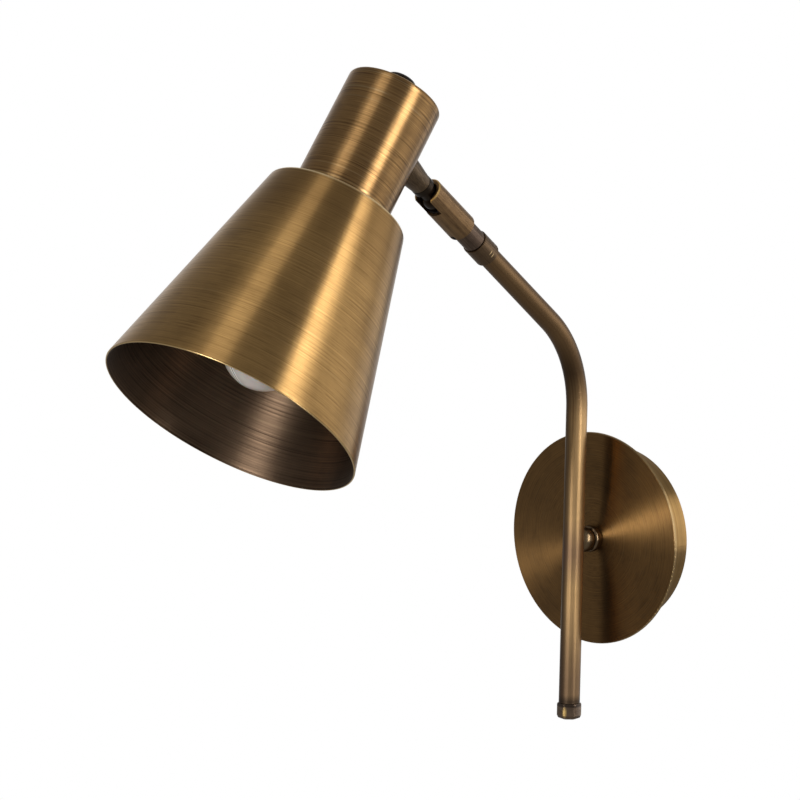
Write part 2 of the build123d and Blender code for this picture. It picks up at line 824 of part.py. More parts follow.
# Plain rings: name, plane of the lower face, bore, outside diameter, height
rings = (
    ("bush_washer", off_wall(cup_floor - bush_washer_thickness), bush_shank_radius,
     bush_washer_diameter, bush_washer_thickness),
    ("hub_washer", off_wall(hub_washer_depth), hub_shank_radius, hub_washer_diameter, hub_washer_thickness),
    ("spindle_ring", on_arm(spindle_ring_rear), spindle_radius, spindle_ring_diameter, spindle_ring_thickness),
    ("stem_lock_ring", on_arm(stem_station - lock_ring_length), stud_radius, lock_ring_diameter, lock_ring_length),
    ("shade_ring", on_head(shade_floor - shade_ring_height), shell_radius, shade_ring_diameter, shade_ring_height),
)
for name, foot_plane, bore, diameter, height in rings:
    with BuildPart() as ring:
        with BuildSketch(foot_plane):
            Circle(diameter / 2)
            Circle(bore + slip, mode=Mode.SUBTRACT)
        extrude(amount=height)
    write(ring.part, name)

# Hex nuts: name, plane of the lower face, thread radius, width across flats, height
nuts = (
    ("bush_nut", off_wall(bush_nut_depth), bush_shank_radius, bush_nut_flats, bush_nut_height),
    ("hub_nut", off_wall(hub_nut_depth), hub_shank_radius, hub_nut_flats, hub_nut_height),
    ("stem_nut", on_arm(saddle_station), stud_radius, stem_nut_flats, stem_nut_height),
    ("holder_nut", on_head(shell_top_height), nipple_radius, holder_nut_flats, holder_nut_height),
)
for name, foot_plane, thread, flats, height in nuts:
    with BuildPart() as nut:
        with BuildSketch(foot_plane):
            RegularPolygon(flats / 2, 6, major_radius=False)
            Circle(thread + slip, mode=Mode.SUBTRACT)
        extrude(amount=height)
        for face in nut.faces().filter_by(foot_plane).sort_by(Axis(foot_plane.origin, foot_plane.z_dir)):
            chamfer(face.outer_wire().edges(), nut_chamfer)
    write(nut.part, name)
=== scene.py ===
"""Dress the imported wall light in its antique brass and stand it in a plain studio.

The CAD nodes keep their shapes and get their finishes here. The spun shade, the spun head
cylinder, the drawn arm tube and its hexagon cap are modelled again with a finer skin, so
that the metal catches light as it should. A UV map on the first three follows the brushing.
"""
import logging
from dataclasses import dataclass, field
from enum import Enum
from functools import cache
from math import atan2, cos, hypot, pi, radians, sin, sqrt, tan
from typing import Any, Callable, Optional, Sequence, Union

import bpy
from mathutils import Matrix, Quaternion, Vector


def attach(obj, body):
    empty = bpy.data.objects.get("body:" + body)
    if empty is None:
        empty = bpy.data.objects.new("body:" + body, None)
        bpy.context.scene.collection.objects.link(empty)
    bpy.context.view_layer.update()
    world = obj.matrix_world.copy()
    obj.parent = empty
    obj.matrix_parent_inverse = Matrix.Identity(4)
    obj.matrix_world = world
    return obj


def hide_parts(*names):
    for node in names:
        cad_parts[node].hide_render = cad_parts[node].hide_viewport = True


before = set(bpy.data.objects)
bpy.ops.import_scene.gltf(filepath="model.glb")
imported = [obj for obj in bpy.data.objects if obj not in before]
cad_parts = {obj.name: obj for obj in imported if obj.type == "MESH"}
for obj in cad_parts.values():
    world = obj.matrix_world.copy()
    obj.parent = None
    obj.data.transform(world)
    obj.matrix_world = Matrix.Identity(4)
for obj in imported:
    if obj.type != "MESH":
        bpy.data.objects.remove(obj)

LOG = logging.getLogger("wall_light")
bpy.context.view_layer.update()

Point = tuple[float, float]
Spot = tuple[float, float, float]
Material = bpy.types.Material
Piece = bpy.types.Object
Socket = bpy.types.NodeSocket
Tree = bpy.types.NodeTree
OBJECTS, MESHES = bpy.ops.object, bpy.ops.mesh

MM = 0.001
WHITE = (1.0, 1.0, 1.0, 1.0)
BRUSH = "brush"  # the UV map that follows the brushing
WELD = 0.002 * MM  # points closer than this become one
SMOOTH = radians(40.0)  # edges flatter than this are shaded round
LONGEST_RUN = 6.0  # longest straight run in a spun section, in millimetres
RELIEF = 0.05 * MM  # depth of the finest relief
TOP_SLANT = 0.5  # lets a spun piece's map run on over its flat top
SAME_LEVEL = 1e-6  # heights closer than this, in metres, count as one
INWARDS, DOWNWARDS = -0.3, -0.5  # normals past these belong to the inside of the shade
FLOOR_SIDES = 96
CAMERA_REACH = (0.1, 100.0)  # nearest and farthest, in metres

# How a finish reads its noises. Two tones say where a mark starts to show and where it is full.
STRAIGHT = 1.0e5  # streak length, in millimetres, of lines that never end
STREAK_RADIUS = 100.0  # radius on a turned face where a streak has its full length
FINE_NOISE = {"Scale": 1.0, "Detail": 2.0, "Roughness": 0.6}
SECOND_SEED, SCRATCH_SEED = 5.0, 9.0  # where a noise's own copy starts
LINE_TONES, GLOSS_TONES = (0.38, 0.64), (0.36, 0.66)
SHARE_TONES, STREAK_TONES = (0.42, 0.58), (0.5, 0.75)
CLOUD_TONES, SCRATCH_TONES = (0.42, 0.72), (0.60, 0.74)
PATCH_TONES, GRAIN_TONES = (0.4, 0.7), (0.3, 0.7)
OPAL_TONES = (0.35, 0.7)
STREAK_LINES, SCRATCH_LINES = 5.0, 3.0  # width of a streak and a scratch, in lines
STREAK_DEPTH = 0.3  # how far a streak darkens, as a share of the lines' depth
BARE_BRASS = "#f2d9a6"
LACQUER_BLUR = 0.4
QUARTER_TURN = 0.25
# Painted shade: a dark brown laid over a tube's sides, away from the strip left bright as a painted
# sheen.
PAINTED_SIDE_SHADE, PAINTED_SIDE_SHADE_COVER = "#3f2e1f", 0.8
PAINTED_SIDE_SHADE_EDGE = (2.6 * MM, 9.0 * MM)  # where a tube's strip of painted sheen ends and the full painted shade on its sides starts
NICK_OR_GLINT_EDGE = (0.4, 1.0)  # shares of a nick or painted glint between which its colour fades
PATCH_GRAINS = 9.0  # size of a plain finish's patches, in grains
GRAIN_SWING = 0.05  # how far the blur changes from grain to grain


class Lay(Enum):
    """The way the lines of a brushed surface run."""

    SPUN = "round the axis of a spun or turned side"
    FACED = "in circles on a turned face"
    DRAWN = "along a drawn tube"
    LONG = "along the axis of a turned piece"


@dataclass(frozen=True)
class Line:
    """A straight line in the light's middle plane that a piece is turned about."""

    point: Spot  # a point on the line, in millimetres
    lean: float  # turn about X, in degrees, that brings the line upright

    def place(self) -> Matrix:
        """Return the matrix that takes an upright piece to this line, in metres."""
        spot = Matrix.Translation(Vector(self.point) * MM)
        return spot @ Matrix.Rotation(radians(-self.lean), 4, "X")


RISE = 37.4  # of the arm's upper run, in degrees
UP, OUT = sin(radians(RISE)), cos(radians(RISE))
CORNER = (0.0, -39.4, 107.7)  # where the tube's straight runs would meet, in millimetres
HEAD_STATION, STEM_HEIGHT = 220.4, 181.8  # middle of the shade's mouth, along the run and below it
HEAD_FOOT = (0.0, CORNER[1] - OUT * HEAD_STATION - UP * STEM_HEIGHT,
             CORNER[2] + UP * HEAD_STATION - OUT * STEM_HEIGHT)
CANOPY_LINE = Line((0.0, 0.0, 0.0), -90.0)
RUN_LINE = Line(CORNER, RISE - 90.0)
HEAD_LINE = Line(HEAD_FOOT, RISE)
TUBE_LINE = Line((0.0, CORNER[1], 0.0), 0.0)


def linear(code: str) -> tuple[float, float, float, float]:
    """Turn an sRGB hex colour into the linear values that a shader takes.

    Args:
        code: six hex digits, with or without a hash.

    Returns:
        Red, green, blue and alpha.
    """
    parts = [int(code.lstrip("#")[i:i + 2], 16) / 255 for i in (0, 2, 4)]
    tones = [p / 12.92 if p <= 0.04045 else ((p + 0.055) / 1.055) ** 2.4 for p in parts]
    return (tones[0], tones[1], tones[2], 1.0)


def add_node(tree: Tree, kind: str, links: Union[dict[Any, Any], Sequence[Any]] = (),
             give: Union[int, str] = 0, **settings: Any) -> Optional[Socket]:
    """Add a node, set it up and join its inputs.

    Args:
        tree: the node tree.
        kind: the node's type, without its prefix.
        links: a socket or a plain value for each input, in order or by name or number.
        give: name or number of the output to return.
        settings: attributes of the node itself.

    Returns:
        The output, or nothing for a node that has none.
    """
    node = tree.nodes.new("ShaderNode" + kind)
    for name, value in settings.items():
        setattr(node, name, value)
    for key, value in links.items() if isinstance(links, dict) else enumerate(links):
        if isinstance(value, Socket):
            tree.links.new(value, node.inputs[key])
        else:
            node.inputs[key].default_value = value
    return node.outputs[give] if len(node.outputs) else None


def painted(tree: Tree, colour: Any, paint: str, measure: Socket, tones: Point,
            cover: Point = (0.0, 1.0)) -> Socket:
    """Lay a paint over a colour, more or less of it as a measure changes.

    Args:
        tree: the node tree.
        colour: what the paint lies on.
        paint: its own colour.
        measure: what it follows.
        tones: two values of the measure.
        cover: how far the paint covers at each of them.

    Returns:
        The colour that is seen.
    """
    share = add_node(tree, "MapRange", (measure, *tones, *cover))
    return add_node(tree, "Mix", {0: share, 6: colour, 7: linear(paint)}, 2, data_type="RGBA")


def apart(tree: Tree, value: Socket, middle: float) -> Socket:
    """Return how far a value is from a middle one, either way."""
    off = add_node(tree, "Math", (value, middle), operation="SUBTRACT")
    return add_node(tree, "Math", (off,), operation="ABSOLUTE")


@dataclass(frozen=True)
class Band:
    """A ring of a piece that is rubbed bright or left dark, or painted bright as a highlight."""

    start: float  # where it starts along the piece, or on a face from its middle, in millimetres
    end: float
    colour: str
    soft: float = 0.2  # share of its half width over which it fades
    strength: float = 1.0  # how far it covers the metal


@dataclass(frozen=True)
class NickOrGlint:
    """A short nick or scuff, where bright metal shows, or a small painted highlight."""

    spot: Spot  # its middle, in millimetres
    size: Spot  # half its length, width and depth
    colour: str = "#f0cf9a"  # colour of the metal, or of the painted highlight


@dataclass(frozen=True)
class Finish:
    """What a surface is made of."""

    name: str  # the material's name

    def surface(self, tree: Tree) -> Socket:
        """Draw the finish.

        Args:
            tree: the node tree.

        Returns:
            The shader.
        """
        raise NotImplementedError

    @cache
    def make(self) -> Material:
        """Build the material, once for all the pieces that have it.

        Returns:
            The finished material.
        """
        material = bpy.data.materials.new(self.name)
        material.use_nodes = True
        material.node_tree.nodes.clear()
        add_node(material.node_tree, "OutputMaterial", (self.surface(material.node_tree),))
        return material


@dataclass(frozen=True)
class AntiqueBrass(Finish):
    """Brass brushed in one direction, darkened in a bath, relieved and lacquered.

    The lines keep a little of the dark bath and blur the light more than the metal
    between them, so a highlight breaks up into fine streaks. The lacquer adds a thin
    pale sheen where the surface turns away.
    """

    bright: str  # colour of the relieved metal
    dark: str  # colour of the bath left in the lines
    lay: Lay  # the way the lines run
    line: Line  # the axis that the lines run round
    line_mm: float = 0.9  # spacing of the lines, drawn coarser than the real ones to show
    streak_mm: float = 110.0  # length of one streak
    blotch_mm: float = 26.0  # size of the cloudy patches
    depth: float = 0.6  # how far the lines darken the metal
    cloud: float = 0.25  # how far the cloudy patches darken it
    scratch: float = 0.1  # strength of the few bright scratches
    roughness: float = 0.36  # blur of the reflection
    swing: float = 0.04  # how far the blur changes from line to line
    anisotropy: float = 0.0  # how far the lines stretch it
    dome: float = 0.0  # lean of a turned face, outwards from its middle, in degrees
    coat: float = 0.10  # weight of the lacquer
    bump: float = 0.012  # strength of the lines' relief
    painted_sheen_place: Optional[float] = None  # place across a tube of a strip left bright as a painted sheen, with painted shade on its sides, in millimetres
    bands: tuple[Band, ...] = ()  # rings with their own colour
    nicks_and_glints: tuple[NickOrGlint, ...] = ()  # nicks, and glints painted on as highlights, with their own colour

    def upright(self, tree: Tree, cell: Spot = (1.0, 1.0, 1.0),
                spot: Optional[Spot] = None) -> Socket:
        """Lay coordinates along the axis.

        Args:
            tree: the node tree.
            cell: size of one unit, in millimetres.
            spot: where they start, if not at the axis's own point.

        Returns:
            The coordinates.
        """
        return add_node(tree, "Mapping", {
            "Vector": add_node(tree, "TexCoord", give="Object"),
            "Location": Vector(spot or self.line.point) * MM,
            "Rotation": (radians(-self.line.lean), 0.0, 0.0),
            "Scale": Vector(cell) * MM,
        }, vector_type="TEXTURE")

    def flat(self, tree: Tree) -> Socket:
        """Return the place on a turned face from its middle, in millimetres."""
        place = self.upright(tree)
        return add_node(tree, "VectorMath", (place, (1.0, 1.0, 0.0)), operation="MULTIPLY")

    def brushing(self, tree: Tree, line_mm: float, streak_mm: float = STRAIGHT) -> Socket:
        """Return coordinates in which one streak is one cell.

        Args:
            tree: the node tree.
            line_mm: spacing of the lines, in millimetres.
            streak_mm: length of the streaks, in millimetres.

        Returns:
            The coordinates.
        """
        if self.lay is Lay.SPUN:
            return self.upright(tree, (streak_mm, streak_mm, line_mm))
        if self.lay is Lay.LONG:
            return self.upright(tree, (line_mm, line_mm, streak_mm))
        if self.lay is Lay.DRAWN:
            run = add_node(tree, "UVMap", uv_map=BRUSH)
            cell = (line_mm * MM, streak_mm * MM, 1.0)
            return add_node(tree, "VectorMath", (run, cell), operation="DIVIDE")
        turn = add_node(tree, "VectorMath", (self.flat(tree),), operation="NORMALIZE")
        count = STREAK_RADIUS / streak_mm
        turn = add_node(tree, "VectorMath", (turn, (count, count, 0.0)), operation="MULTIPLY")
        ring = add_node(tree, "Math", (self.along(tree), line_mm), operation="DIVIDE")
        rings = add_node(tree, "CombineXYZ", (0.0, 0.0, ring))
        return add_node(tree, "VectorMath", (turn, rings), operation="ADD")

    def along(self, tree: Tree) -> Socket:
        """Measure along the piece, or on a face from its middle.

        Args:
            tree: the node tree.

        Returns:
            The distance, in millimetres.
        """
        if self.lay is Lay.DRAWN:
            run = add_node(tree, "UVMap", uv_map=BRUSH)
            run = add_node(tree, "VectorMath", {0: run, "Scale": 1 / MM}, operation="SCALE")
            return add_node(tree, "SeparateXYZ", (run,), 1)
        if self.lay is Lay.FACED:
            return add_node(tree, "VectorMath", (self.flat(tree),), "Value", operation="LENGTH")
        return add_node(tree, "SeparateXYZ", (self.upright(tree),), 2)

    def marked(self, tree: Tree, colour: Socket) -> Socket:
        """Lay the painted side shade, the bands, the nicks and the painted glints over the brushed
        colour.

        Args:
            tree: the node tree.
            colour: the brushed metal.

        Returns:
            The colour with its marks.
        """
        # A tube keeps a strip bright where the light falls, as a painted sheen, and its sides are
        # painted darker as shade.
        if self.painted_sheen_place is not None:
            side = add_node(tree, "SeparateXYZ", (add_node(tree, "UVMap", uv_map=BRUSH),))
            side = apart(tree, side, self.painted_sheen_place * MM)
            colour = painted(tree, colour, PAINTED_SIDE_SHADE, side, PAINTED_SIDE_SHADE_EDGE, (0.0, PAINTED_SIDE_SHADE_COVER))
        for band in self.bands:
            half = (band.end - band.start) / 2
            edge = (half * (1 - band.soft), half)
            near = apart(tree, self.along(tree), (band.start + band.end) / 2)
            colour = painted(tree, colour, band.colour, near, edge, (band.strength, 0.0))
        # A nick shows bare metal; a glint is a painted highlight.
        for nick_or_glint in self.nicks_and_glints:
            near = self.upright(tree, nick_or_glint.size, nick_or_glint.spot)
            near = add_node(tree, "VectorMath", (near,), "Value", operation="LENGTH")
            colour = painted(tree, colour, nick_or_glint.colour, near, NICK_OR_GLINT_EDGE, (1.0, 0.0))
        return colour

    def surface(self, tree: Tree) -> Socket:
        """Draw lines, streaks, clouds, scratches and marks under a thin lacquer.

        Args:
            tree: the node tree.

        Returns:
            The shader.
        """
        lines = self.brushing(tree, self.line_mm)
        first = add_node(tree, "TexNoise", {"Vector": lines, **FINE_NOISE})
        second = add_node(tree, "TexNoise", {"Vector": lines, "W": SECOND_SEED, **FINE_NOISE},
                          noise_dimensions="4D")
        streaks = self.brushing(tree, self.line_mm * STREAK_LINES, self.streak_mm)
        gate = add_node(tree, "TexNoise", {"Vector": streaks, "Scale": 1.0, "Detail": 2.0})
        share = add_node(tree, "MapRange", (gate, *SHARE_TONES))
        fine = add_node(tree, "Mix", {0: share, 2: first, 3: second})
        scratches = self.brushing(tree, self.line_mm * SCRATCH_LINES)
        rare = {"Vector": scratches, "W": SCRATCH_SEED, "Scale": 1.0, "Detail": 1.0}
        rare = add_node(tree, "TexNoise", rare, noise_dimensions="4D")
        clouds = self.upright(tree, (self.blotch_mm,) * 3)
        cloud = add_node(tree, "TexNoise", {"Vector": clouds, **FINE_NOISE, "Detail": 4.0})
        dark: Any = 0.0
        for noise, tones, most in ((fine, LINE_TONES, self.depth),
                                   (gate, STREAK_TONES, self.depth * STREAK_DEPTH),
                                   (cloud, CLOUD_TONES, self.cloud)):
            more = add_node(tree, "MapRange", (noise, *tones, 0.0, most))
            dark = add_node(tree, "Math", (dark, more), operation="ADD", use_clamp=True)
        bare = add_node(tree, "MapRange", (rare, *SCRATCH_TONES, 0.0, self.scratch))
        bare = add_node(tree, "Math", (bare, share), operation="MULTIPLY")
        colour: Any = linear(self.bright)
        for cover, paint in ((dark, self.dark), (bare, BARE_BRASS)):
            mix = {0: cover, 6: colour, 7: linear(paint)}
            colour = add_node(tree, "Mix", mix, 2, data_type="RGBA")
        blur = (self.roughness - self.swing, self.roughness + self.swing)
        gloss = add_node(tree, "MapRange", (fine, *GLOSS_TONES, *blur))
        relief = add_node(tree, "Bump", {"Strength": self.bump, "Distance": RELIEF, "Height": fine})
        if self.dome:
            fall = (self.along(tree), -tan(radians(self.dome)) * MM)
            fall = add_node(tree, "Math", fall, operation="MULTIPLY")
            relief = add_node(tree, "Bump", {"Distance": 1.0, "Height": fall, "Normal": relief})
        settings = {"Base Color": self.marked(tree, colour), "Metallic": 1.0, "Roughness": gloss,
                    "Normal": relief, "Coat Weight": self.coat, "Coat Roughness": LACQUER_BLUR}
        if self.anisotropy:
            radial = self.line is CANOPY_LINE
            across = {"direction_type": "RADIAL", "axis": "Y"} if radial else {
                "direction_type": "UV_MAP", "uv_map": BRUSH}
            settings["Anisotropic"] = self.anisotropy
            settings["Anisotropic Rotation"] = QUARTER_TURN if radial else 0.0
            settings["Tangent"] = add_node(tree, "Tangent", **across)
        return add_node(tree, "BsdfPrincipled", settings)


@dataclass(frozen=True)
class PlainFinish(Finish):
    """A finish with no direction: plated steel or moulded plastic."""

    colour: str  # its main colour
    shade: str  # the colour of its cloudy patches
    metallic: float = 0.0  # one for metal
    roughness: float = 0.45  # blur of the reflection
    grain_mm: float = 1.2  # size of the grain, drawn coarse enough to show
    bump: float = 0.05  # strength of the grain's relief

    def surface(self, tree: Tree) -> Socket:
        """Draw a fine grain and soft patches.

        Args:
            tree: the node tree.

        Returns:
            The shader.
        """
        place, scale = add_node(tree, "TexCoord", give="Object"), 1 / (self.grain_mm * MM)
        grain = add_node(tree, "TexNoise", {"Vector": place, "Scale": scale, "Detail": 2.0})
        patch = {"Vector": place, "Scale": scale / PATCH_GRAINS, "Detail": 3.0}
        patch = add_node(tree, "TexNoise", patch)
        blur = (self.roughness - GRAIN_SWING, self.roughness + GRAIN_SWING)
        relief = {"Strength": self.bump, "Distance": RELIEF, "Height": grain}
        return add_node(tree, "BsdfPrincipled", {
            "Base Color": painted(tree, linear(self.colour), self.shade, patch, PATCH_TONES),
            "Metallic": self.metallic,
            "Roughness": add_node(tree, "MapRange", (grain, *GRAIN_TONES, *blur)),
            "Normal": add_node(tree, "Bump", relief),
        })


# Pressed steel is zinc plated and passivated: dull pale grey with faint patches.
ZINC = PlainFinish("zinc plated steel", "#b9b8b2", "#a3a29c", 1.0, 0.38)
# The screws are blackened in hot oil: near black, half matt.
BLACK_STEEL = PlainFinish("blackened steel, screws", "#2b2723", "#1d1a17", 1.0, 0.4)
# The terminal block is moulded in white nylon: off-white, half matt.
NYLON = PlainFinish("white thermoplastic", "#e4e1da", "#dad7cf", roughness=0.4)
# The lampholder is moulded in black phenolic: black with a soft sheen.
PHENOLIC = PlainFinish("black moulded plastic", "#17161a", "#0e0d0f", roughness=0.5)


@dataclass(frozen=True)
class OpalGlass(Finish):
    """Blown opal glass, acid-matted: milky, with the fine line where its two moulds met."""

    colour: str  # colour of the glass
    shade: str  # colour of its thicker patches
    seam_point: Spot  # a point on the mould line's plane, in millimetres
    seam_way: Spot  # the direction square to that plane
    seam_mm: float = 0.35  # half the width of the line, drawn wide enough to show
    patch_mm: float = 14.0  # size of the thicker patches
    depth_mm: float = 3.0  # how deep light goes into the glass
    roughness: float = 0.24  # blur of the reflection
    milk: float = 0.3  # share of the light that goes into it
    # The line's pale edge and its dark middle: where each starts and ends to fade, in half
    # widths, how far it covers the glass, and its colour.
    seam: tuple[tuple[float, float, float, str], ...] = (
        (2.2, 3.2, 0.7, "#f4f0ec"), (0.7, 1.3, 0.9, "#4a4240"))

    def surface(self, tree: Tree) -> Socket:
        """Draw the glass with its mould line.

        Args:
            tree: the node tree.

        Returns:
            The shader.
        """
        place = add_node(tree, "TexCoord", give="Object")
        patch = {"Vector": place, "Scale": 1 / (self.patch_mm * MM), "Detail": 2.0}
        patch = add_node(tree, "TexNoise", patch)
        colour = painted(tree, linear(self.colour), self.shade, patch, OPAL_TONES)
        way = (place, self.seam_way)
        away = add_node(tree, "VectorMath", way, "Value", operation="DOT_PRODUCT")
        away = apart(tree, away, Vector(self.seam_point).dot(Vector(self.seam_way)) * MM)
        for start, end, most, paint in self.seam:
            edge = (start * self.seam_mm * MM, end * self.seam_mm * MM)
            colour = painted(tree, colour, paint, away, edge, (most, 0.0))
        return add_node(tree, "BsdfPrincipled", {
            "Base Color": colour, "Roughness": self.roughness,
            "Subsurface Weight": self.milk, "Subsurface Scale": self.depth_mm * MM,
        })


@dataclass(frozen=True)
class Paper(Finish):
    """Matt paper that melts into a white room."""

    colour: str
    fade: Point  # metres from its middle where it starts to melt and where it is gone

    def surface(self, tree: Tree) -> Socket:
        """Draw the paper and the white that it melts into.

        Args:
            tree: the node tree.

        Returns:
            The shader.
        """
        place = add_node(tree, "TexCoord", give="Object")
        far = add_node(tree, "VectorMath", (place,), "Value", operation="LENGTH")
        edge = add_node(tree, "MapRange", (far, *self.fade))
        paper = add_node(tree, "BsdfDiffuse", (linear(self.colour),))
        white = add_node(tree, "Emission", (WHITE, 1.0))
        return add_node(tree, "MixShader", (edge, paper, white))


def rounded(corners: Sequence[Spot], steps: int = 8) -> list[Point]:
    """Round the corners of a section.

    Args:
        corners: radius, height and rounding of each corner, in millimetres.
        steps: pieces in each rounded corner.

    Returns:
        The points of the closed section, in order.
    """
    points: list[Point] = []
    for index, (x, y, rounding) in enumerate(corners):
        if not rounding:
            points.append((x, y))
            continue
        before, after = corners[index - 1], corners[(index + 1) % len(corners)]
        corner = Vector((x, y))
        back = Vector((before[0] - x, before[1] - y)).normalized()
        ahead = Vector((after[0] - x, after[1] - y)).normalized()
        half = back.angle(ahead) / 2
        middle = corner + (back + ahead).normalized() * (rounding / sin(half))
        first = corner + back * (rounding / tan(half)) - middle
        last = corner + ahead * (rounding / tan(half)) - middle
        sweep = atan2(first.cross(last), first.dot(last))
        for step in range(steps + 1):
            spot = middle + Matrix.Rotation(sweep * step / steps, 2) @ first
            points.append((spot.x, spot.y))
    return points


def divided(points: Sequence[Point], longest: float) -> list[Point]:
    """Divide the long runs of a closed section.

    Args:
        points: the section's points.
        longest: longest run to leave, in millimetres.

    Returns:
        The points with the new ones between them.
    """
    made: list[Point] = []
    for index, (x, y) in enumerate(points):
        u, v = points[(index + 1) % len(points)]
        count = max(1, int(hypot(u - x, v - y) / longest))
        made += [(x + (u - x) * k / count, y + (v - y) * k / count) for k in range(count)]
    return made


def add_shape(name: str, shape: Callable[..., Any], **settings: Any) -> Piece:
    """Add a simple shape, with its place in its mesh.

    Args:
        name: the piece's name.
        shape: what adds it.
        settings: its sizes and its place.

    Returns:
        The piece.
    """
    OBJECTS.select_all(action="DESELECT")
    shape(**settings)
    piece = bpy.context.active_object
    piece.name = piece.data.name = name
    OBJECTS.transform_apply(location=True, rotation=True, scale=True)
    return piece


def start_piece(name: str, points: Sequence[Point]) -> Piece:
    """Draw a closed section in edit mode, one extruded point after another.

    Args:
        name: the piece's name.
        points: radius and height of each point, in millimetres.

    Returns:
        The piece, still in edit mode with the whole section selected.
    """
    piece = add_shape(name, MESHES.primitive_plane_add, size=MM, location=(0.0, 0.0, 0.0))
    OBJECTS.mode_set(mode="EDIT")
    MESHES.select_mode(type="VERT")
    MESHES.select_all(action="SELECT")
    MESHES.merge(type="CENTER")
    bpy.ops.transform.translate(value=(points[0][0] * MM, 0.0, points[0][1] * MM))
    for (x, y), (u, v) in zip(points, points[1:]):
        step = ((u - x) * MM, 0.0, (v - y) * MM)
        MESHES.extrude_region_move(TRANSFORM_OT_translate={"value": step})
    OBJECTS.mode_set(mode="OBJECT")
    for vertex in piece.data.vertices:
        vertex.select = vertex.index in (0, len(points) - 1)
    OBJECTS.mode_set(mode="EDIT")
    MESHES.edge_face_add()
    MESHES.select_all(action="SELECT")
    return piece


def close_piece() -> None:
    """Weld the piece that is in edit mode, turn its faces outwards and smooth them."""
    MESHES.select_all(action="SELECT")
    MESHES.remove_doubles(threshold=WELD)
    MESHES.normals_make_consistent(inside=False)
    OBJECTS.mode_set(mode="OBJECT")
    OBJECTS.shade_smooth_by_angle(angle=SMOOTH)


def spun_piece(name: str, points: Sequence[Point], line: Line, steps: int) -> Piece:
    """Spin a closed section into a piece and lay its brushing map on it.

    Args:
        name: the piece's name.
        points: radius and height of each point, in millimetres.
        line: the axis it is spun about.
        steps: faces round the piece.

    Returns:
        The finished piece, at the origin with its place in its mesh.
    """
    piece = start_piece(name, points)
    MESHES.spin(steps=steps, angle=2 * pi, center=(0.0, 0.0, 0.0), axis=(0.0, 0.0, 1.0))
    close_piece()
    mesh = piece.data
    brush = mesh.uv_layers.new(name=BRUSH).data
    for face in mesh.polygons:
        spots = [mesh.vertices[i].co for i in face.vertices]
        turns = [atan2(s.y, s.x) / (2 * pi) for s in spots]
        for loop, spot, turn in zip(face.loop_indices, spots, turns):
            turn += 1.0 if max(turns) - turn > 0.5 else 0.0
            brush[loop].uv = (spot.z - TOP_SLANT * hypot(spot.x, spot.y), turn)
    mesh.transform(line.place())
    return piece


def dress(finish: Finish, *nodes: str) -> None:
    """Give CAD nodes their finish.

    Args:
        finish: what they are made of.
        nodes: the nodes' names.
    """
    for node in nodes:
        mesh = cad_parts[node].data
        mesh.materials.clear()
        mesh.materials.append(finish.make())


def settle(piece: Piece, body: str, slot: str, *nodes: str) -> None:
    """Let a piece ride on its body in place of CAD nodes.

    Args:
        piece: the finished piece.
        body: the body that carries it.
        slot: not used.
        nodes: the CAD nodes it stands for.
    """
    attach(piece, body)
    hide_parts(*nodes)
    LOG.info("%s: %d faces, rides on %s", piece.name, len(piece.data.polygons), body)


@dataclass
class Canopy:
    """The wall fitting: drum, disc, bracket and the swivel's bush."""

    # The drum is spun from sheet and brushed round while it turns: a gold lobe on its right side.
    drum: Finish = AntiqueBrass(
        "spun antique brass, drum", "#b8925a", "#73562f", Lay.SPUN, CANOPY_LINE,
        scratch=0.2, roughness=0.32, swing=0.03, anisotropy=0.9)
    # The disc is faced on a lathe and left darkest: dark brown, two gold lobes like a bow tie, a
    # rim rubbed bare whose bright line is also a painted highlight.
    face: Finish = AntiqueBrass(
        "turned dark brass, disc", "#8f6b3e", "#44311f", Lay.FACED, CANOPY_LINE,
        line_mm=0.6, streak_mm=20.0, depth=0.5, scratch=0.08, roughness=0.37, swing=0.08,
        # the rim's band is a bare edge and a painted highlight
        anisotropy=0.9, dome=5.5, bands=(Band(59.5, 60.6, "#d9b985", 0.4, 0.5),))
    # The ring is turned and polished before the bath: a small soft glint on dark brown.
    bush: Finish = AntiqueBrass(
        "turned antique brass, swivel", "#8b7559", "#44372a", Lay.SPUN, CANOPY_LINE,
        line_mm=1.2, streak_mm=12.0, scratch=0.2, roughness=0.25, swing=0.03)

    def build(self) -> None:
        """Dress the canopy's nodes."""
        dress(self.drum, "canopy_cup")
        dress(self.face, "canopy_disc")
        dress(self.bush, "swivel_bush")
        dress(ZINC, "wall_bracket", "earth_screw", "bush_washer", "bush_nut")
        dress(BLACK_STEEL, "canopy_side_screws")
        dress(NYLON, "terminal_block")


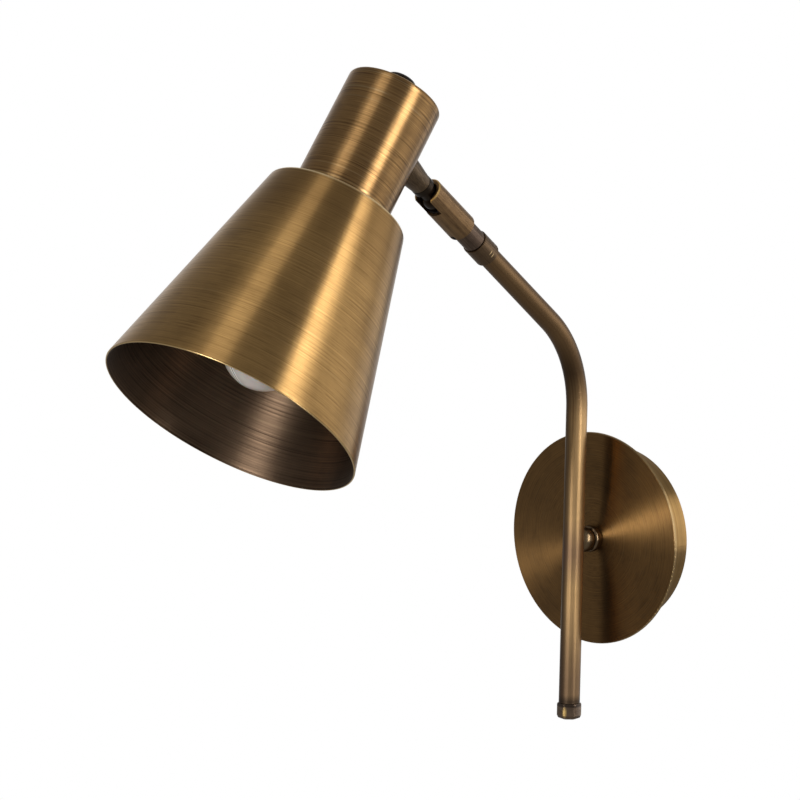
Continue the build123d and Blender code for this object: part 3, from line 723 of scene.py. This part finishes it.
@dataclass
class Arm:
    """The bent tube with its hub, end cap and ferrule."""

    radius: float = 6.0  # radius of the tube, in millimetres
    foot: float = -92.0  # lower end of the tube
    end: float = 105.5  # upper end, along the upper run
    bend: float = 65.0  # radius of the bend
    sides: int = 64  # faces round the tube
    steps: tuple[int, int, int] = (4, 24, 3)  # faces along it below, in and above the bend
    cap_flats: float = 12.7  # width of the hexagon cap across its flats
    cap_height: float = 9.3
    cap_turn: float = 11.0  # turn of its corners, in degrees, from one corner at the back
    # Place, width and steps of each bevel: the worn sides, the foot, the head.
    cap_bevels: tuple[tuple[str, float, int], ...] = (
        ("side", 1.5, 5), ("foot", 2.2, 2), ("head", 1.1, 2))
    cap_smooth: float = 22.0  # its edges flatter than this, in degrees, are shaded round
    # The tube is drawn and bent: a soft broad sheen, a strip left bright where the light falls as a
    # painted sheen with painted shade on its sides, grey-brown where the bath stayed, darkest in
    # the bend, with a few scuffs below it.
    tube: Finish = AntiqueBrass(
        "drawn antique brass, arm", "#e6bc84", "#6f5232", Lay.DRAWN, TUBE_LINE,
        # painted_sheen_place: the strip of painted sheen, with painted shade on the tube's sides
        line_mm=1.5, streak_mm=60.0, blotch_mm=40.0, roughness=0.44, painted_sheen_place=-2.2,
        bands=(Band(-150.0, -34.0, "#5e4a3e", 0.75, 0.7), Band(-26.0, 14.0, "#6d544c", 0.9, 0.5),
               Band(-95.0, -87.0, "#3b3027", 0.9, 0.8), Band(70.0, 300.0, "#6e5337", 0.3, 0.85),
               Band(72.0, 126.0, "#3d2c1d", 0.95, 0.75)),
        nicks_and_glints=(NickOrGlint((4.9, -42.9, 77.0), (1.0, 1.0, 0.45), "#b08c66"),
               NickOrGlint((4.6, -43.2, 81.5), (1.0, 1.0, 0.45), "#b08c66"),
               NickOrGlint((4.9, -43.1, 85.5), (0.9, 0.9, 0.45), "#a5825e")))
    # The hub is turned and polished before the bath: a round glint on a dark ball.
    hub: Finish = AntiqueBrass(
        "turned antique brass, hub", "#8a7456", "#3f3225", Lay.SPUN, CANOPY_LINE,
        line_mm=1.2, streak_mm=12.0, scratch=0.2, roughness=0.28, swing=0.03)
    # The cap is cut from hexagon bar and worn at its edges: dark, with one bright stripe at its
    # left corner painted on as a highlight.
    cap: Finish = AntiqueBrass(
        "turned antique brass, end cap", "#8a7460", "#44382f", Lay.SPUN, TUBE_LINE,
        line_mm=1.6, streak_mm=30.0, blotch_mm=7.0, depth=0.35, cloud=0.5, scratch=0.0,
        roughness=0.30, swing=0.03,
        bands=(Band(-94.4, -91.9, "#3f342c", 0.6, 0.8),),
        # a painted highlight down the cap's left corner
        nicks_and_glints=(NickOrGlint((2.1, -45.8, -97.2), (1.5, 1.5, 3.7), "#f4cd84"),))
    # The ferrule is turned and darkened: dull brown, with two bright nicks.
    ferrule: Finish = AntiqueBrass(
        "turned antique brass, ferrule", "#7a6248", "#4d3c2d", Lay.LONG, RUN_LINE,
        line_mm=0.8, streak_mm=16.0, blotch_mm=8.0, roughness=0.42,
        nicks_and_glints=(NickOrGlint((7.189, -124.218, 170.625), (0.9, 2.0, 0.35)),
               NickOrGlint((7.132, -122.622, 169.09), (0.9, 2.0, 0.35))))

    def bend_start(self) -> Point:
        """Return the bend's angle, in radians, and the height at which it starts."""
        turn = radians(90.0 - RISE)
        return turn, CORNER[2] - self.bend * tan(turn / 2)

    def brush_map(self, mesh: bpy.types.Mesh) -> None:
        """Lay a map on the tube: across it and along its run, in metres.

        Args:
            mesh: the tube's mesh.
        """
        turn, low = self.bend_start()
        hub = Vector((CORNER[1] - self.bend, low))
        brush = mesh.uv_layers.new(name=BRUSH).data
        for face in mesh.polygons:
            rows = []
            for index in face.vertices:
                x, y, z = mesh.vertices[index].co / MM
                swing = min(max(atan2(z - hub.y, y - hub.x), 0.0), turn) if z > low else 0.0
                out = Vector((cos(swing), sin(swing)))
                off = Vector((y, z)) - (hub + out * self.bend)
                run = off.dot(Vector((-out.y, out.x)))
                rows.append((atan2(off.dot(out), x), low + self.bend * swing + run))
            angles = [row[0] for row in rows]
            for loop, (angle, along) in zip(face.loop_indices, rows):
                angle += 2 * pi if max(angles) - angle > pi else 0.0
                brush[loop].uv = (angle * self.radius * MM, along * MM)

    def build_tube(self) -> Piece:
        """Model the tube: a ring drawn up, turned through the bend and drawn on.

        Returns:
            The tube.
        """
        turn, low = self.bend_start()
        piece = add_shape(
            "arm_run", MESHES.primitive_circle_add, vertices=self.sides, radius=self.radius * MM,
            fill_type="NGON", location=(0.0, CORNER[1] * MM, self.foot * MM))
        OBJECTS.mode_set(mode="EDIT")
        MESHES.select_all(action="SELECT")
        below, round_bend, above = self.steps
        step = (0.0, 0.0, (low - self.foot) / below * MM)
        for _ in range(below):
            MESHES.extrude_region_move(TRANSFORM_OT_translate={"value": step})
        centre = (0.0, (CORNER[1] - self.bend) * MM, low * MM)
        MESHES.spin(steps=round_bend, angle=turn, center=centre, axis=(-1.0, 0.0, 0.0))
        step = Vector((0.0, -OUT, UP)) * ((self.end - self.bend * tan(turn / 2)) / above * MM)
        for _ in range(above):
            MESHES.extrude_region_move(TRANSFORM_OT_translate={"value": step})
        close_piece()
        self.brush_map(piece.data)
        return piece

    def build_cap(self) -> Piece:
        """Model the hexagon cap: a bar with its corners worn round and its ends bevelled.

        Returns:
            The cap.
        """
        piece = add_shape(
            "hexagon_cap", MESHES.primitive_cylinder_add, vertices=6,
            radius=self.cap_flats / sqrt(3) * MM, depth=self.cap_height * MM,
            location=(0.0, CORNER[1] * MM, (self.foot - self.cap_height / 2) * MM),
            rotation=(0.0, 0.0, radians(self.cap_turn)))
        for place, width, steps in self.cap_bevels:
            self.bevel_edges(piece, place, width, steps)
        OBJECTS.shade_smooth_by_angle(angle=radians(self.cap_smooth))
        return piece

    def bevel_edges(self, piece: Piece, place: str, width: float, steps: int) -> None:
        """Bevel the upright edges of the cap, or those round one end.

        Args:
            piece: the cap.
            place: side, foot or head.
            width: width of the bevel, in millimetres.
            steps: faces across it.
        """
        mesh = piece.data
        low, high = (self.foot - self.cap_height) * MM, self.foot * MM
        ends = {"foot": (low, low), "head": (high, high), "side": (low, high)}[place]
        OBJECTS.mode_set(mode="EDIT")
        MESHES.select_mode(type="EDGE")
        MESHES.select_all(action="DESELECT")
        OBJECTS.mode_set(mode="OBJECT")
        for edge in mesh.edges:
            levels = sorted(mesh.vertices[i].co.z for i in edge.vertices)
            edge.select = all(abs(a - b) < SAME_LEVEL for a, b in zip(levels, ends))
        OBJECTS.mode_set(mode="EDIT")
        MESHES.bevel(offset=width * MM, segments=steps, affect="EDGES")
        OBJECTS.mode_set(mode="OBJECT")

    def build(self) -> None:
        """Model the tube and its cap, and dress the arm's nodes."""
        tube = self.build_tube()
        tube.data.materials.append(self.tube.make())
        settle(tube, "arm", "arm_brass", "arm_tube")
        cap = self.build_cap()
        cap.data.materials.append(self.cap.make())
        settle(cap, "arm", "fitting_brass", "tube_end_cap")
        dress(self.hub, "arm_hub")
        dress(self.ferrule, "tube_ferrule")
        dress(ZINC, "hub_washer", "hub_nut")


@dataclass
class Knuckle:
    """The slotted ball joint between the arm and the head."""

    # The sleeve is turned, slotted and rubbed lengthwise: brown streaks, a gold line at its mouth
    # that is a bare edge and a painted highlight.
    sleeve: Finish = AntiqueBrass(
        "turned antique brass, sleeve", "#a17f58", "#543f2a", Lay.LONG, RUN_LINE,
        line_mm=1.0, streak_mm=18.0, blotch_mm=7.0, roughness=0.44,
        # the gold line at the mouth is a bare edge and a painted highlight
        bands=(Band(163.85, 164.66, "#e0b873"),))
    # The neck is left dark from the bath: dull brown with faint streaks.
    neck: Finish = AntiqueBrass(
        "dark bronzed brass, neck", "#7a6555", "#483a30", Lay.LONG, RUN_LINE,
        streak_mm=14.0, blotch_mm=7.0, roughness=0.48)

    def build(self) -> None:
        """Dress the knuckle's nodes."""
        dress(self.sleeve, "joint_sleeve")
        dress(self.neck, "neck_spindle")
        dress(ZINC, "spindle_ring", "disc_springs")
        dress(BLACK_STEEL, "sleeve_set_screw")
        dress(PHENOLIC, "pressure_pad")


@dataclass
class Head:
    """The shade and the cylinder above it, with the stem that carries them."""

    mouth: float = 74.1  # outer radius of the shade's mouth, in millimetres
    shoulder: float = 39.9  # outer radius of its shoulder
    height: float = 135.0  # height of the shade
    wall: float = 1.0  # thickness of the spun sheet
    collar: float = 19.55  # radius of the lampholder's hole
    shade_edges: Point = (3.0, 0.42)  # rounding of the shade's shoulder and lip
    foot: float = 27.6  # radius of the cylinder's foot
    top: float = 27.1  # radius of its top
    rise: float = 74.2  # height of the cylinder
    hole: float = 4.85  # radius of the nipple's hole
    cylinder_edges: Point = (2.5, 0.2)  # rounding of the cylinder's shoulder and lip
    steps: int = 256  # faces round the spun pieces
    # The shade is spun from sheet and brushed round: broken gold highlights, a little darker
    # towards its shoulder, and bright lines at its shoulder and lip that are bare edges and painted
    # highlights.
    outside: Finish = AntiqueBrass(
        "spun antique brass, shade", "#b9925a", "#7d5f37", Lay.SPUN, HEAD_LINE,
        line_mm=1.1, streak_mm=24.0, cloud=0.32, scratch=0.12, roughness=0.33, swing=0.05,
        anisotropy=0.9,
        # bands: darker towards the shoulder; bright shoulder and lip, bare edges and painted
        # highlights
        bands=(Band(84.0, 160.0, "#7c5d36", 0.9, 0.45), Band(133.0, 136.0, "#f6dba6", 0.5, 0.9),
               Band(-1.0, 0.5, "#f0cf92", 0.4, 0.8)))
    # Its inside keeps the whole bath: near black, with one soft brown streak.
    inside: Finish = AntiqueBrass(
        "dark bronzed brass, inside of the shade", "#7f6853", "#413329", Lay.SPUN, HEAD_LINE,
        line_mm=1.1, streak_mm=60.0, roughness=0.45, swing=0.1, anisotropy=0.85, coat=0.0)
    # The cylinder is spun and brushed a little deeper: the same gold, with clear bright lines, and
    # a bright top edge that is a bare edge and a painted highlight.
    drum: Finish = AntiqueBrass(
        "spun antique brass, cylinder", "#ab8554", "#6c5030", Lay.SPUN, HEAD_LINE,
        line_mm=1.1, streak_mm=22.0, depth=0.8, scratch=0.3, roughness=0.33, swing=0.05,
        # the top edge's bright band is a bare edge and a painted highlight
        anisotropy=0.9, bands=(Band(208.3, 210.0, "#f0cf92", 0.5, 0.5),))
    # The stem is turned and left dark: dull brown.
    stem: Finish = AntiqueBrass(
        "turned dark brass, stem", "#746049", "#463829", Lay.LONG, RUN_LINE,
        line_mm=0.8, streak_mm=14.0, blotch_mm=8.0, roughness=0.44)
    # The ball stud, lock ring and cap nut are chemically blackened: near black, a soft sheen.
    ball: Finish = AntiqueBrass(
        "dark bronzed brass, ball stud", "#3c3024", "#1f1811", Lay.SPUN, RUN_LINE,
        line_mm=0.5, streak_mm=10.0, blotch_mm=6.0, scratch=0.0, roughness=0.38, swing=0.03)

    def section(self, foot: float, top: float, hole: float, low: float, high: float,
                edges: Point) -> list[Point]:
        """Draw the section of a spun cup with a rounded lip.

        Args:
            foot: outer radius at the lip.
            top: outer radius at the flat top.
            hole: radius of the hole in the top.
            low: height of the lip.
            high: height of the top.
            edges: rounding of the shoulder and of the lip's edges.

        Returns:
            The points of the closed section.
        """
        corner, lip = edges
        slope = (foot - top) / (high - low)
        side = self.wall * sqrt(1 + slope**2)
        inner = top + slope * self.wall - side
        under = high - self.wall
        corners = ((foot, low, lip), (top, high, corner), (hole, high, 0.0), (hole, under, 0.0),
                   (inner, under, corner - self.wall), (foot - side, low, lip))
        return divided(rounded(corners), LONGEST_RUN)

    def build_shade(self) -> Piece:
        """Spin the shade, bright outside and dark inside.

        Returns:
            The shade.
        """
        points = self.section(
            self.mouth, self.shoulder, self.collar, 0.0, self.height, self.shade_edges)
        shade = spun_piece("spun_shade", points, HEAD_LINE, self.steps)
        shade.data.materials.append(self.outside.make())
        shade.data.materials.append(self.inside.make())
        upright = HEAD_LINE.place().inverted()
        turned = upright.to_3x3()
        for face in shade.data.polygons:
            spot, way = upright @ face.center, turned @ face.normal
            outwards = Vector((spot.x, spot.y)).normalized().dot(Vector((way.x, way.y)))
            under = way.z < DOWNWARDS and spot.z > 0.5 * self.height * MM
            face.material_index = 1 if outwards < INWARDS or under else 0
        return shade

    def build(self) -> None:
        """Model the shade and the cylinder, and dress the head's other metal."""
        settle(self.build_shade(), "head", "spun_brass", "shade")
        points = self.section(self.foot, self.top, self.hole, self.height, self.height + self.rise,
                              self.cylinder_edges)
        cylinder = spun_piece("spun_cylinder", points, HEAD_LINE, self.steps)
        cylinder.data.materials.append(self.drum.make())
        settle(cylinder, "head", "spun_brass", "head_cylinder")
        dress(self.stem, "head_stem")
        dress(self.ball, "ball_stud", "stem_lock_ring", "top_cap_nut")
        dress(ZINC, "stem_saddle", "stem_nut", "holder_nipple", "holder_nut")


@dataclass
class Lamp:
    """The lampholder and its bulb."""

    # The screw shell is pressed from bright brass sheet: clean yellow, deep inside the shade.
    contact: Finish = PlainFinish(
        "plain brass, screw shell", "#c9a55c", "#a8874a", metallic=1.0, roughness=0.3)
    # The bulb's cap is rolled aluminium: pale grey, hidden by its holder.
    bulb_cap: Finish = PlainFinish(
        "plain aluminium, bulb cap", "#c4c4c0", "#a9a9a5", metallic=1.0, roughness=0.32)
    # The globe is blown and matted inside: milky grey in the shade's shadow, one fine dark line.
    opal: Finish = OpalGlass(
        "opal glass, globe", "#b9b2ab", "#a0978f", (-12.6, -303.2, 127.2), (-0.89, -0.33, -0.31))

    def build(self) -> None:
        """Dress the lampholder and the bulb."""
        dress(PHENOLIC, "holder_shell", "shade_ring", "holder_contact_base")
        dress(self.contact, "holder_screw_shell")
        dress(self.bulb_cap, "bulb_base")
        dress(self.opal, "bulb_globe")


@dataclass(frozen=True)
class SoftBox:
    """A rectangle of soft light that faces the light fitting."""

    name: str
    azimuth: float  # direction round the fitting, in degrees, from its front to its right
    elevation: float  # direction above the horizon
    distance: float  # metres from the fitting
    width: float  # metres across
    height: float  # metres tall
    radiance: float  # brightness of its face, where one is white paper
    lean: float = 0.0  # lean of its top towards greater azimuths, in degrees

    def build(self, aim: Vector) -> None:
        """Hang the light.

        Args:
            aim: the point that it faces, in metres.
        """
        turn, lift = radians(self.azimuth), radians(self.elevation)
        back = Vector((sin(turn) * cos(lift), -cos(turn) * cos(lift), sin(lift)))
        light = bpy.data.lights.new(self.name, "AREA")
        light.shape, light.size, light.size_y = "RECTANGLE", self.width, self.height
        light.energy = self.radiance * pi * self.width * self.height
        holder = bpy.data.objects.new(self.name, light)
        bpy.context.scene.collection.objects.link(holder)
        holder.location = aim + back * self.distance
        lean = Quaternion((0.0, 0.0, -1.0), radians(self.lean))
        holder.rotation_euler = (back.to_track_quat("Z", "Y") @ lean).to_euler()
        holder.visible_camera = False
        LOG.info("%s: %.1f W", self.name, light.energy)


@dataclass
class Studio:
    """The plain pale room: world, floor, soft boxes and camera."""

    aim: Vector = field(default_factory=lambda: Vector((0.0, -0.2, 0.15)))  # what the lights face
    boxes: tuple[SoftBox, ...] = (
        SoftBox("soft_box_right", 96.5, 17.0, 1.7, 0.22, 1.7, 14.5, 20.0),
        SoftBox("pale_panel_right", 138.0, 5.0, 1.7, 1.2, 1.3, 0.9),
        SoftBox("pale_panel_back", 171.0, -8.0, 1.7, 0.42, 0.7, 1.15),
        SoftBox("soft_box_above", 18.0, 66.0, 1.6, 0.5, 0.8, 1.4),
        SoftBox("soft_box_front", 5.0, 3.2, 1.9, 0.58, 0.4, 22.5),
        SoftBox("soft_box_front_high", 0.0, 32.0, 1.9, 0.5, 0.5, 4.9),
    )
    room: float = 0.275  # brightness of the room round the set, as a mirror sees it
    wall: float = 0.85  # brightness of the white wall behind the set, as a mirror sees it
    wall_edge: Point = (0.78, 0.96)  # cosines off the view between which the wall starts
    fill: float = 0.3  # brightness of the room for matt surfaces
    floor_drop: float = -0.7  # height of the floor, in metres
    floor_size: float = 2.4  # width of the floor
    # The floor is matt paper: pale under the fitting, melting into the white behind it.
    paper: Finish = Paper("pale studio floor", "#efeeec", (0.6, 1.152))
    azimuth: float = 41.754  # the camera's direction round the fitting, in degrees
    elevation: float = 8.124  # the camera's direction above the horizon
    roll: float = 1.293
    distance: float = 4.531333  # metres to the camera
    shift: Point = (0.123895, 0.075871)  # metres that the frame is off the origin, right and down
    lens: Point = (360.0, 36.0)  # focal length and width of the frame, in millimetres

    def build_world(self) -> None:
        """White behind the set for the eye and the mirror, a dim room in front of it."""
        world = bpy.data.worlds.new("studio")
        bpy.context.scene.world = world
        world.use_nodes = True
        tree = world.node_tree
        tree.nodes.clear()
        away = Vector((-sin(radians(self.azimuth)), cos(radians(self.azimuth)), 0.0))
        way = add_node(tree, "TexCoord", give="Generated")
        behind = add_node(tree, "VectorMath", (way, away), "Value", operation="DOT_PRODUCT")
        wall = add_node(tree, "MapRange", (behind, *self.wall_edge, self.room, self.wall))
        eye = add_node(tree, "LightPath", give="Is Camera Ray")
        glossy = add_node(tree, "LightPath", give="Is Glossy Ray")
        through = add_node(tree, "LightPath", give="Is Transmission Ray")
        mirror = add_node(tree, "Math", (glossy, through), operation="MAXIMUM")
        strength = add_node(tree, "Mix", {0: mirror, 2: self.fill, 3: wall})
        strength = add_node(tree, "Math", (strength, eye), operation="MAXIMUM")
        add_node(tree, "OutputWorld", (add_node(tree, "Background", (WHITE, strength)),))

    def build_floor(self) -> None:
        """Lay a pale round floor that fades into the white room."""
        OBJECTS.select_all(action="DESELECT")
        MESHES.primitive_circle_add(
            vertices=FLOOR_SIDES, radius=self.floor_size / 2, fill_type="NGON",
            location=(self.aim.x, self.aim.y, self.floor_drop))
        floor = bpy.context.active_object
        floor.name = "studio_floor"
        floor.data.materials.append(self.paper.make())
        floor.visible_glossy = False

    def build_camera(self) -> None:
        """Set the camera at the photograph's angle."""
        turn, lift, roll = radians(self.azimuth), radians(self.elevation), radians(self.roll)
        right = Vector((cos(turn), sin(turn), 0.0))
        up = Vector((-sin(turn) * sin(lift), cos(turn) * sin(lift), cos(lift)))
        back = right.cross(up)
        right, up = right * cos(roll) + up * sin(roll), up * cos(roll) - right * sin(roll)
        data = bpy.data.cameras.new("camera")
        data.lens, data.sensor_width = self.lens
        data.clip_start, data.clip_end = CAMERA_REACH
        camera = bpy.data.objects.new("camera", data)
        bpy.context.scene.collection.objects.link(camera)
        spot = back * self.distance - right * self.shift[0] + up * self.shift[1]
        axes = Matrix((right, up, back)).transposed().to_4x4()
        camera.matrix_world = Matrix.Translation(spot) @ axes
        bpy.context.scene.camera = camera

    def build(self) -> None:
        """Set up the whole studio."""
        bpy.context.scene.view_settings.view_transform = "Standard"
        self.build_world()
        self.build_floor()
        for box in self.boxes:
            box.build(self.aim)
        self.build_camera()


def main() -> None:
    """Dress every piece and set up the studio."""
    logging.basicConfig(level=logging.INFO, format="%(message)s")
    for assembly in (Canopy(), Arm(), Knuckle(), Head(), Lamp(), Studio()):
        assembly.build()


if __name__ == "__main__":
    main()
